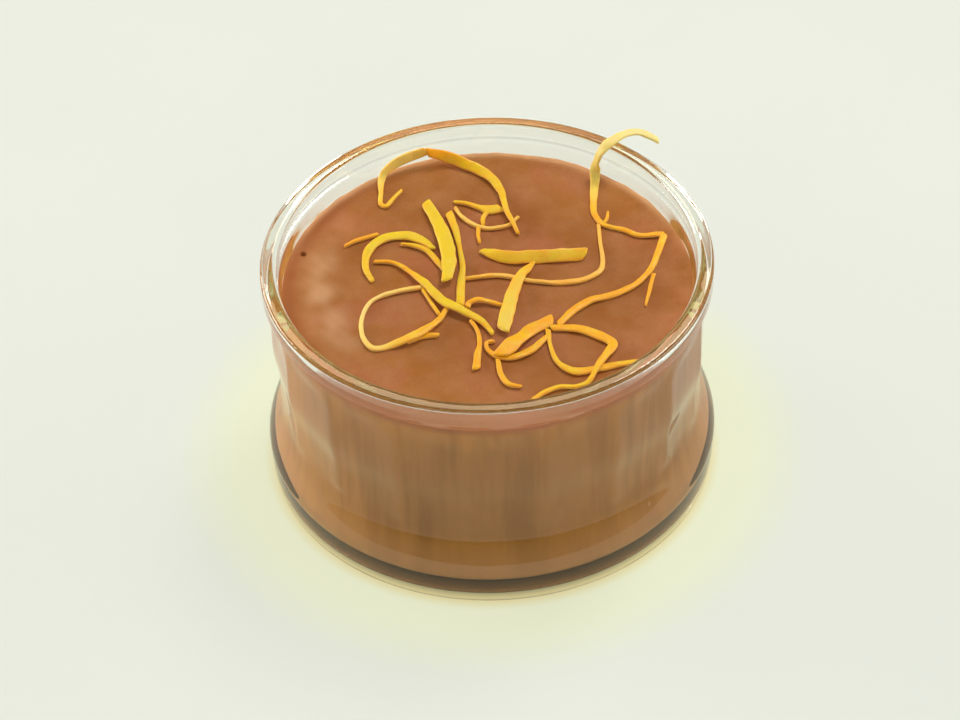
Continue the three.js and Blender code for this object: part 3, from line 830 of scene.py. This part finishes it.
# Each strip's route over the mousse in millimetres: x, y and its lift where it has one. Widths,
# leans in degrees, ripeness (0 lemon, 1 amber) and paleness (0 skin, 1 pith) are spread evenly
# from its first end to its last. A strip's middle is REST above the mousse's level where it has no
# lift, before it settles, and its lift is OVER where it lies over another strip.
REST = 0.8
OVER = 1.05
STRIPS = {
    "zest_wall_curl": {
        "widths": (0.7, 1.0, 1.0, 1.6, 2.3, 1.8),
        "leans": (0, 0, 0, 50, 75, 70),
        "ripeness": (0.5, 0.5, 0.4, 0.2, 0.1, 0.5),
        "paleness": (0.0, 0.0, 0.1, 0.4, 0.5, 0.2),
        "route": (
            (-16.6, 30.0), (-18.3, 27.6), (-20.0, 25.0), (-21.0, 25.6), (-21.0, 29.0, 0.2),
            (-20.9, 32.6, 0.7), (-19.9, 34.4, 1.9), (-17.0, 36.1, 2.8), (-14.2, 37.4, 3.1),
            (-11.2, 38.3, 3.5),
        ),
    },
    "zest_back_sweep": {
        "widths": (1.9, 2.4, 2.3, 1.9, 1.3, 1.0, 0.7),
        "leans": (55, 45, 20, 0, 0, 0, 0),
        "ripeness": (0.9, 0.6, 0.4, 0.3, 0.4, 0.5, 0.8),
        "route": (
            (-11.6, 37.9, 3.3), (-7.6, 38.2, 2.1), (-3.2, 36.6, 0.9), (-0.4, 34.8, 0.5),
            (1.9, 32.0, 0.4), (3.5, 28.1, 0.4), (4.1, 23.3, 1.15), (4.7, 20.4, OVER), (5.6, 17.7, OVER),
            (6.6, 14.6, 0.1),
        ),
    },
    "zest_back_fold": {
        "widths": (0.8, 0.9, 1.2, 2.4, 2.4),
        "ripeness": (0.4, 0.5, 0.3),
        "route": ((-6.3, 25.6), (-3.5, 24.9), (-0.8, 23.4), (1.3, 22.7), (3.6, 23.3)),
    },
    "zest_back_thread": {
        "widths": (0.7, 0.9, 0.9, 0.7),
        "ripeness": (0.5, 0.6, 0.5),
        "paleness": (0.2, 0.4, 0.3, 0.1),
        "route": ((-6.1, 24.0), (-4.6, 20.7), (-1.6, 17.7), (0.8, 16.8), (4.5, 17.6), (6.9, 20.3)),
    },
    "zest_back_tail": {
        "widths": (0.9, 0.8, 0.6),
        "ripeness": (0.6, 0.7),
        "route": ((-1.3, 17.7), (-1.5, 14.7), (-1.2, 12.2)),
    },
    "zest_back_link": {
        "widths": (1.1, 1.0, 0.8),
        "ripeness": (0.5, 0.6),
        "route": ((0.4, 21.9), (-0.4, 19.8), (-0.4, 17.6)),
    },
    "zest_lemon_bar": {
        "widths": (2.2, 2.6, 3.1, 3.0, 2.2),
        "ripeness": (0.2, 0.1, 0.0, 0.0, 0.1),
        "route": (
            (-12.0, 25.9, 0.1), (-9.8, 19.8, 0.4), (-8.1, 12.8, 0.9), (-7.5, 6.5, 1.2), (-8.0, 0.2, 1.1),
        ),
    },
    "zest_lemon_edge": {
        "widths": (1.7, 1.5, 1.0, 1.2, 1.7, 1.7),
        "ripeness": (0.4, 0.4, 0.3, 0.4),
        "route": ((-7.3, 22.4), (-6.0, 16.5), (-5.1, 9.0), (-4.8, 5.0), (-5.2, 0.6), (-5.5, -6.5)),
    },
    "zest_left_arch": {
        "widths": (1.0, 1.4, 1.9, 2.4, 2.2, 1.2),
        "ripeness": (0.5, 0.3, 0.1, 0.0, 0.1, 0.2),
        "route": (
            (-22.6, 1.8), (-24.0, 5.2), (-23.7, 10.8), (-20.8, 14.7), (-16.6, 15.6), (-12.8, 13.9),
            (-10.5, 11.0),
        ),
    },
    "zest_left_inner": {
        "widths": (0.6, 1.1, 1.2, 0.9),
        "ripeness": (0.5, 0.5, 0.4),
        "route": ((-17.2, 13.0), (-14.6, 12.4), (-12.0, 10.8), (-9.9, 7.4), (-8.2, 3.8)),
    },
    "zest_left_tip": {
        "widths": (0.6, 0.9, 0.8),
        "ripeness": (1.0, 0.7),
        "route": ((-28.5, 12.8), (-26.0, 14.5), (-21.4, 16.3)),
    },
    "zest_diagonal": {
        "widths": (0.8, 0.9, 1.6, 2.1, 1.6, 0.9),
        "ripeness": (1.0, 0.6, 0.3, 0.2, 0.3, 0.4),
        "route": (
            (-22.6, 7.9), (-18.4, 7.2), (-15.3, 4.0, 0.4), (-12.4, 0.0, OVER), (-9.0, -5.4, OVER),
            (-4.6, -9.0, OVER), (-1.3, -11.6, 0.4), (0.8, -15.2),
        ),
    },
    "zest_front_loop": {
        "widths": (1.1, 1.0, 0.8, 0.9, 1.0, 1.5, 2.1, 1.3, 1.0),
        "ripeness": (0.6, 0.5, 0.6, 0.5, 0.4, 0.5, 0.7),
        "paleness": (0.3, 0.5, 0.6, 0.6, 0.4, 0.1, 0.0, 0.0),
        "route": (
            (-12.6, -0.4), (-17.8, -1.4), (-22.6, -3.8), (-24.7, -8.4), (-24.7, -14.4), (-22.6, -18.0),
            (-19.4, -17.4), (-15.4, -15.9, OVER), (-13.0, -14.3, OVER), (-9.6, -10.4, 0.4),
            (-8.1, -7.0),
        ),
    },
    "zest_loop_spur": {
        "widths": (0.8, 0.8, 0.7),
        "ripeness": (0.5, 0.6),
        "route": ((-12.9, -0.9), (-11.2, -5.2), (-9.6, -9.0)),
    },
    "zest_loop_under": {
        "widths": (1.0, 1.4, 1.0),
        "ripeness": (0.8, 0.7),
        "route": ((-16.2, -16.6), (-13.2, -15.0), (-9.7, -14.8)),
    },
    "zest_cross_bar": {
        "widths": (1.3, 2.3, 2.7, 2.8, 2.8, 2.8, 2.8, 2.8, 2.6),
        "leans": (0, 28, 32, 32, 30, 26),
        "ripeness": (0.25, 0.3, 0.35, 0.35, 0.3),
        "paleness": (0.0, 0.05, 0.08, 0.08, 0.05),
        "route": ((-1.0, 10.2), (1.2, 8.6, 0.4), (4.6, 7.0, 0.9), (12.0, 6.9, 0.95), (20.0, 7.3, 0.8)),
    },
    "zest_centre_bar": {
        "widths": (0.9, 1.9, 2.5, 2.8, 3.0, 2.7),
        "ripeness": (0.5, 0.4, 0.25, 0.2),
        "paleness": (0.0, 0.1, 0.15, 0.2),
        "route": (
            (9.4, 6.1, 0.1), (8.8, 4.8, 0.2), (8.0, 3.5, 0.6), (6.9, 1.7, OVER), (5.2, -2.9, OVER),
            (4.0, -8.0, OVER), (2.6, -14.7, 0.7),
        ),
    },
    "zest_long_thread": {
        "widths": (0.8, 1.1, 0.9, 1.3, 1.1, 0.8, 0.8),
        "ripeness": (0.6, 0.7, 0.8, 0.7, 0.7),
        "paleness": (0.1, 0.3, 0.2, 0.3, 0.2),
        "route": (
            (-4.5, 1.7), (2.5, 2.3), (8.0, 0.5), (13.5, -0.5), (18.6, 0.0), (22.4, 2.5), (23.1, 5.6),
            (22.9, 11.0), (22.8, 16.9),
        ),
    },
    "zest_small_curl": {
        "widths": (1.2, 1.3, 1.0, 0.8),
        "ripeness": (0.7, 0.6, 0.7),
        "route": ((-4.2, -7.2), (-3.7, -5.9, 0.3), (-2.2, -5.4, 0.8), (0.4, -5.8, 0.3), (2.9, -6.9)),
    },
    "zest_rim_tail": {
        "widths": (1.5, 2.0, 2.2, 2.2, 1.7, 1.3, 1.1, 1.1, 1.4),
        "ripeness": (0.0, 0.0, 0.0, 0.1, 0.4, 0.6, 0.7, 0.7, 0.8),
        "paleness": (1.0, 0.95, 0.75, 0.5, 0.25, 0, 0, 0, 0),
        "route": (
            (36.2, 36.2, 5.4), (32.6, 37.2, 7.0), (29.3, 36.4, 7.5), (26.7, 34.4, 7.5),
            (24.7, 32.9, 6.8), (23.5, 32.5, 4.8), (22.9, 32.0, 2.0), (22.7, 30.0, 0.3), (22.3, 26.0),
            (22.2, 20.2), (23.8, 16.8), (28.0, 14.8), (30.6, 13.1), (35.8, 13.2),
        ),
    },
    "zest_right_arc": {
        "widths": (1.5, 1.3, 1.2, 1.5, 1.7, 1.4),
        "ripeness": (0.5, 0.6, 0.8, 0.8, 0.7),
        "route": (
            (35.9, 13.4), (34.5, 8.4), (32.2, 2.0), (28.9, -2.1), (24.4, -4.8), (20.4, -6.0),
            (16.6, -9.0), (13.4, -13.2),
        ),
    },
    "zest_right_fleck": {
        "widths": (0.7, 0.7, 0.5),
        "ripeness": (0.6, 0.6),
        "route": ((23.9, 16.9), (24.7, 19.0), (24.9, 20.8)),
    },
    "zest_right_spur": {
        "widths": (0.8, 0.8, 0.5),
        "ripeness": (0.8, 0.9),
        "route": ((33.0, 1.2), (31.9, -3.6), (30.8, -8.4)),
    },
    "zest_front_slab": {
        "widths": (2.6, 2.8, 3.0, 3.3, 2.8),
        "ripeness": (0.8, 0.6, 0.45, 0.7),
        "route": (
            (12.7, -11.4, 0.1), (8.9, -13.8, 0.1), (6.6, -16.0, 0.4), (4.4, -18.8, OVER),
            (1.8, -22.2, OVER),
        ),
    },
    "zest_front_hook": {
        "widths": (1.1, 1.5, 1.6, 1.4, 0.9, 0.7),
        "ripeness": (0.6, 0.5, 0.8, 0.9),
        "route": (
            (11.3, -16.3), (8.2, -19.8), (4.5, -21.9), (1.5, -21.5), (-0.5, -19.4), (-0.5, -17.5),
            (1.1, -17.1),
        ),
    },
    "zest_right_loop": {
        "widths": (1.6, 1.9, 2.2, 1.9, 1.4, 1.0, 0.9, 1.0, 0.9),
        "ripeness": (0.7, 0.5, 0.6, 0.5, 0.4, 0.4, 0.6),
        "route": (
            (11.9, -13.9), (17.0, -14.3), (21.7, -16.8), (23.8, -19.2, 0.1), (22.2, -23.0, 0.9),
            (21.0, -25.2, OVER), (20.2, -27.0, OVER), (18.5, -29.9, 0.2), (16.4, -30.9), (12.8, -30.9),
            (9.6, -32.6), (7.5, -34.5),
        ),
    },
    "zest_right_curl": {
        "widths": (1.1, 0.8, 1.0, 1.8, 1.6, 1.2, 1.1),
        "ripeness": (0.6, 0.4, 0.4, 0.5, 0.5, 0.3),
        "route": (
            (11.4, -14.2), (11.8, -19.6), (13.1, -24.0), (16.2, -26.6), (21.0, -25.9), (26.0, -24.8),
            (30.8, -24.5, 0.2),
        ),
    },
    "zest_front_stem": {
        "widths": (0.7, 0.8, 1.0, 1.5, 1.6),
        "ripeness": (0.8, 0.7, 0.6),
        "route": ((-3.7, -10.6), (-2.3, -14.0), (-2.0, -17.7), (-2.5, -21.4), (-2.8, -25.2)),
    },
    "zest_front_tip": {
        "widths": (0.9, 1.1, 1.1, 0.7),
        "ripeness": (0.7, 0.6, 0.7),
        "route": ((1.4, -22.4), (2.0, -27.0), (3.4, -29.6), (5.9, -30.5)),
    },
}
LEMON_STRIPS = {
    "zest_back_sweep", "zest_back_fold", "zest_lemon_bar", "zest_lemon_edge", "zest_left_arch",
    "zest_left_inner", "zest_diagonal", "zest_centre_bar", "zest_rim_tail",
}
STEP_LENGTH = 0.28 * MM
AROUND_STRIP = 20
SETTLE = 0.42 * MM
SETTLE_OVER = 0.28 * MM
SLIDE = 0.38 * MM
ROUNDING = 2.4


def strip_section(around):
    """A strip's cross-section about its middle: a rectangle with round corners, for halves of 1.

    The coordinates are the cosine and sine of the angle, each raised to a small power with its sign
    kept, so that the outline hugs the rectangle.
    """
    angle = 2 * np.pi * np.arange(around) / around
    c, s = np.cos(angle), np.sin(angle)
    return np.sign(c) * np.abs(c) ** 0.5, np.sign(s) * np.abs(s) ** 0.42


def strip_rings(spec, level, thickness, slant, seed):
    """Rings of points along a strip, with each ring's share of the way along it and its middle.

    The route is a smooth curve, which settles a little towards the mousse and more so where it lies
    over another strip. At each step the sideways direction is level and square to the route, then
    turned about it by the lean. A ring is the cross-section scaled by half the width and half the
    thickness. Towards each end the width shrinks to nothing along a rounded curve and the thickness
    to a quarter, or a twentieth in the last ring. The edges and the thickness are a little uneven,
    and the strip is arched across. Near an end a ring also slides along the route by the slant times
    the distance across, for a slanted cut.
    """
    route = np.array([(*point, 0)[:3] for point in spec["route"]]) * MM
    route[:, 2] += level + REST * MM
    _, total = smooth_curve(route, 2)
    count = max(12, int(total / STEP_LENGTH))
    centre, _ = smooth_curve(route, count)
    t = np.linspace(0, 1, count)
    along = t * total
    lift = centre[:, 2] - level - REST * MM
    raised, high = smoothstep(lift, 0, 1.0 * MM), smoothstep(lift, 1.5 * MM, 4 * MM)
    centre[:, 2] -= SETTLE + SETTLE_OVER * raised * (1 - high)
    centre[:, 1] += SLIDE
    centre[:, 2] += 0.05 * MM * unevenness(along, 6 * MM, seed + 3)
    tangent = np.gradient(centre, axis=0)
    tangent /= np.linalg.norm(tangent, axis=1)[:, None]
    left = np.column_stack([-tangent[:, 1], tangent[:, 0], np.zeros(count)])
    left /= np.linalg.norm(left, axis=1)[:, None]
    lean = np.radians(spread(spec.get("leans", (0, 0)), t) + 7 * unevenness(along, 9 * MM, seed))
    left = left * np.cos(lean)[:, None] + np.cross(tangent, left) * np.sin(lean)[:, None]
    above = np.cross(tangent, left)
    half_width = spread(spec["widths"], t) * MM / 2
    half_thick = thickness / 2 * (1 + 0.14 * unevenness(along, 3.5 * MM, seed + 1))
    end = np.minimum(t, 1 - t) * total
    rounding = np.clip(end / (0.5 * half_width + 0.1 * MM), 0, 1)
    close = (1 - (1 - rounding) ** ROUNDING) ** (1 / ROUNDING)
    across, upwards = strip_section(AROUND_STRIP)
    ragged = [1 + 0.05 * unevenness(along, 4.5 * MM, seed + k) for k in (4, 5)]
    side = np.where(across[None, :] > 0, ragged[0][:, None], ragged[1][:, None])
    u = across[None, :] * side * (half_width * close)[:, None]
    arch = 0.16 * half_thick[:, None] * (1 - across[None, :] ** 2) * 2
    v = (upwards[None, :] * half_thick[:, None] + arch) * (0.25 + 0.75 * close)[:, None]
    v *= np.where(rounding[:, None] < 1e-6, 0.2, 1)
    rings = centre[:, None, :] + u[..., None] * left[:, None, :] + v[..., None] * above[:, None, :]
    cut = slant * np.sign(unevenness(np.array([0.0, 1.0]), 0.37, seed + 6))[(t > 0.5).astype(int)]
    cut *= 1 - smoothstep(end, 0, 2.5 * half_width)
    rings += (cut[:, None] * u)[..., None] * tangent[:, None, :]
    return rings, t, across, upwards, centre


class DESSERT_OT_zest(bpy.types.Operator):
    """Makes the strips of lemon and orange peel"""

    bl_idname = "dessert.zest"
    bl_label = "Citrus Zest"

    def execute(self, context):
        mousse, zest = context.scene.dessert_mousse, context.scene.dessert_zest
        materials = {
            "lemon_zest": zest_material("Lemon zest", zest, -0.05),
            "orange_zest": zest_material("Amber zest", zest, 0.05),
        }
        for seed, (node, spec) in enumerate(STRIPS.items()):
            rings, t, across, upwards, centre = strip_rings(
                spec, mousse.level, zest.thickness, zest.slant, 100 + 10 * seed
            )
            count = len(rings)
            points = np.vstack([rings.reshape(-1, 3), centre[:1], centre[-1:]])
            # Towards the edges the skin turns deeper amber and a little pith shows; that pale edge is
            # partly a painted highlight.
            rim = smoothstep(np.abs(across), 0.6, 1.0)
            ripe = spread(spec["ripeness"], t)[:, None] + 0.4 * rim[None, :]
            ripe = np.concatenate([ripe.ravel(), ripe[[0, -1], 0]])
            under = smoothstep(-upwards, -0.1, 0.75)
            pale = spread(spec.get("paleness", (0, 0)), t)
            pith = np.maximum(np.maximum(under, 0.15 * rim)[None, :], pale[:, None])
            pith = np.concatenate([pith.ravel(), [0.4, 0.4]])
            piece = build_mesh(
                node.replace("zest_", "peel_"),
                points,
                *closed_faces(count, AROUND_STRIP),
                {"ripeness": ripe, "pith": pith},
            )
            slot = "lemon_zest" if node in LEMON_STRIPS else "orange_zest"
            piece.data.materials.append(materials[slot])
            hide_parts(node)
            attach(piece, "root")
        return {"FINISHED"}


# --------------------
# The stage
# --------------------

CAMERA_PLACE = (-2.019 * MM, -514.881 * MM, 492.045 * MM)
CAMERA_RIGHT = (0.99937, -0.02396, -0.02633)
CAMERA_UP = (0.03560, 0.67259, 0.73916)
CAMERA_BACK = (0.0, -0.73963, 0.67301)
# The lens and the sensor's width are in millimetres.
CAMERA_LENS, CAMERA_SENSOR = 129.41, 36
CAMERA_NEAREST = 0.01
BACKDROP = (0.98, 1.0, 0.89)
BACKDROP_STRENGTH = 0.83
FLOOR_HALF = 3.0
# Glass only ever touches a table at a few points, and mirrors its inside over the rest.
AIR_UNDER_DISH = 0.1 * MM
LIT_PLACE = (0, 0, 0.03)
# Each lamp's place, its width and depth, and the colour of its light.
LAMPS = {
    "key": ((0.35, 0.45, 0.8), (0.3, 0.3), (1.0, 0.99, 0.95)),
    "front": ((-0.15, -0.9, 0.75), (0.9, 0.5), (1.0, 1.0, 0.94)),
    "left": ((-0.71, 0.36, 0.22), (0.5, 0.35), (1.0, 0.99, 0.93)),
    "right": ((0.8, 0.0, 0.22), (0.5, 0.35), (1.0, 0.99, 0.93)),
    "card": ((0.0, 1.14, 1.44), (1.6, 0.58), (1.0, 0.8, 0.55)),
}


def add_lamp(name, place, size, tint, watts):
    """A large rectangular lamp that points at the dish."""
    lamp = bpy.data.lights.new(name, "AREA")
    lamp.shape = "RECTANGLE"
    lamp.size, lamp.size_y = size
    lamp.energy = watts
    lamp.color = tint
    holder = bpy.data.objects.new(name, lamp)
    bpy.context.scene.collection.objects.link(holder)
    holder.location = place
    away = Vector(place) - Vector(LIT_PLACE)
    holder.rotation_euler = away.to_track_quat("Z", "Y").to_euler()
    return holder


def add_camera():
    """The camera, placed by its position and its three axes."""
    data = bpy.data.cameras.new("camera")
    data.lens = CAMERA_LENS
    data.sensor_width = CAMERA_SENSOR
    data.clip_start = CAMERA_NEAREST
    camera = bpy.data.objects.new("camera", data)
    bpy.context.scene.collection.objects.link(camera)
    axes = Matrix((CAMERA_RIGHT, CAMERA_UP, CAMERA_BACK)).transposed()
    camera.matrix_world = Matrix.Translation(CAMERA_PLACE) @ axes.to_4x4()
    bpy.context.scene.camera = camera


def add_world(stage):
    """Soft light from all round, dimmer from low down and the camera's side, brighter at both sides.

    The camera sees a plain backdrop in its place. So does a ray that has come through the glass and
    not yet off a surface that scatters it.
    """
    world = bpy.data.worlds.new("surroundings")
    bpy.context.scene.world = world
    world.use_nodes = True
    tree = world.node_tree
    direction = add_node(tree, "ShaderNodeTexCoord").outputs["Generated"]
    parts = add_node(tree, "ShaderNodeSeparateXYZ", {0: direction}).outputs
    height = ramp(tree, parts["Z"], 0.0, 0.6, 0.45, 1.0)
    front = ramp(tree, parts["Y"], -0.9, 0.1, 0.6, 1.0)
    sideways = add_node(tree, "ShaderNodeMath", {0: parts["X"]}, operation="ABSOLUTE").outputs[0]
    sideways = ramp(tree, sideways, 0.4, 0.95, 1.0, 2.2)
    strength = times(tree, times(tree, times(tree, height, front), stage.sky), sideways)
    rays = add_node(tree, "ShaderNodeLightPath").outputs
    unscattered = arithmetic(tree, "LESS_THAN", rays["Diffuse Depth"], 0.5)
    through = times(tree, rays["Is Transmission Ray"], unscattered)
    seen = arithmetic(tree, "MAXIMUM", rays["Is Camera Ray"], through)
    backdrop = node_of_type(tree, "BACKGROUND")
    backdrop.inputs["Color"].default_value = (*BACKDROP, 1.0)
    feed(tree, backdrop, Strength=ramp(tree, seen, 0.0, 1.0, strength, BACKDROP_STRENGTH))


class DESSERT_OT_stage(bpy.types.Operator):
    """Makes the floor, the lights and the camera"""

    bl_idname = "dessert.stage"
    bl_label = "Stage"

    def execute(self, context):
        stage = context.scene.dessert_stage
        corners = np.array([[-1, -1, 0], [1, -1, 0], [1, 1, 0], [-1, 1, 0]]) * FLOOR_HALF
        corners[:, 2] = -AIR_UNDER_DISH
        floor = build_mesh("floor", corners, np.array([[0, 1, 2, 3]]), np.empty((0, 3), int))
        floor.data.materials.append(floor_material(stage))
        lamps = {name: add_lamp(name, *lamp, getattr(stage, name)) for name, lamp in LAMPS.items()}
        # Only mirrored rays see the card.
        lamps["card"].visible_diffuse = False
        lamps["card"].visible_transmission = False
        add_world(stage)
        add_camera()
        context.scene.view_settings.view_transform = "Standard"
        return {"FINISHED"}


# --------------------
# The panel and the classes
# --------------------

OPERATORS = (DESSERT_OT_dish, DESSERT_OT_mousse, DESSERT_OT_zest, DESSERT_OT_stage)
SETTINGS = {
    "dessert_dish": DishSettings,
    "dessert_mousse": MousseSettings,
    "dessert_zest": ZestSettings,
    "dessert_stage": StageSettings,
}


class VIEW3D_PT_dessert(bpy.types.Panel):
    """Lists the pieces and their settings"""

    bl_idname = "VIEW3D_PT_dessert"
    bl_label = "Chocolate Mousse"
    bl_space_type = "VIEW_3D"
    bl_region_type = "UI"
    bl_category = "Dessert"

    def draw(self, context):
        for (name, group), operator in zip(SETTINGS.items(), OPERATORS):
            box = self.layout.box()
            box.operator(operator.bl_idname)
            for setting in group.__annotations__:
                box.prop(getattr(context.scene, name), setting)


def register():
    """Registers the classes and puts their settings on the scene."""
    for group in SETTINGS.values():
        bpy.utils.register_class(group)
    for operator in OPERATORS:
        bpy.utils.register_class(operator)
    bpy.utils.register_class(VIEW3D_PT_dessert)
    for name, group in SETTINGS.items():
        setattr(bpy.types.Scene, name, bpy.props.PointerProperty(type=group))


def unregister():
    """Takes the settings off the scene and unregisters the classes."""
    for name in SETTINGS:
        delattr(bpy.types.Scene, name)
    bpy.utils.unregister_class(VIEW3D_PT_dessert)
    for owned in (*OPERATORS, *SETTINGS.values()):
        bpy.utils.unregister_class(owned)


def main():
    """Makes every piece and the stage."""
    register()
    bpy.ops.dessert.dish()
    bpy.ops.dessert.mousse()
    bpy.ops.dessert.zest()
    bpy.ops.dessert.stage()


if __name__ == "__main__":
    main()
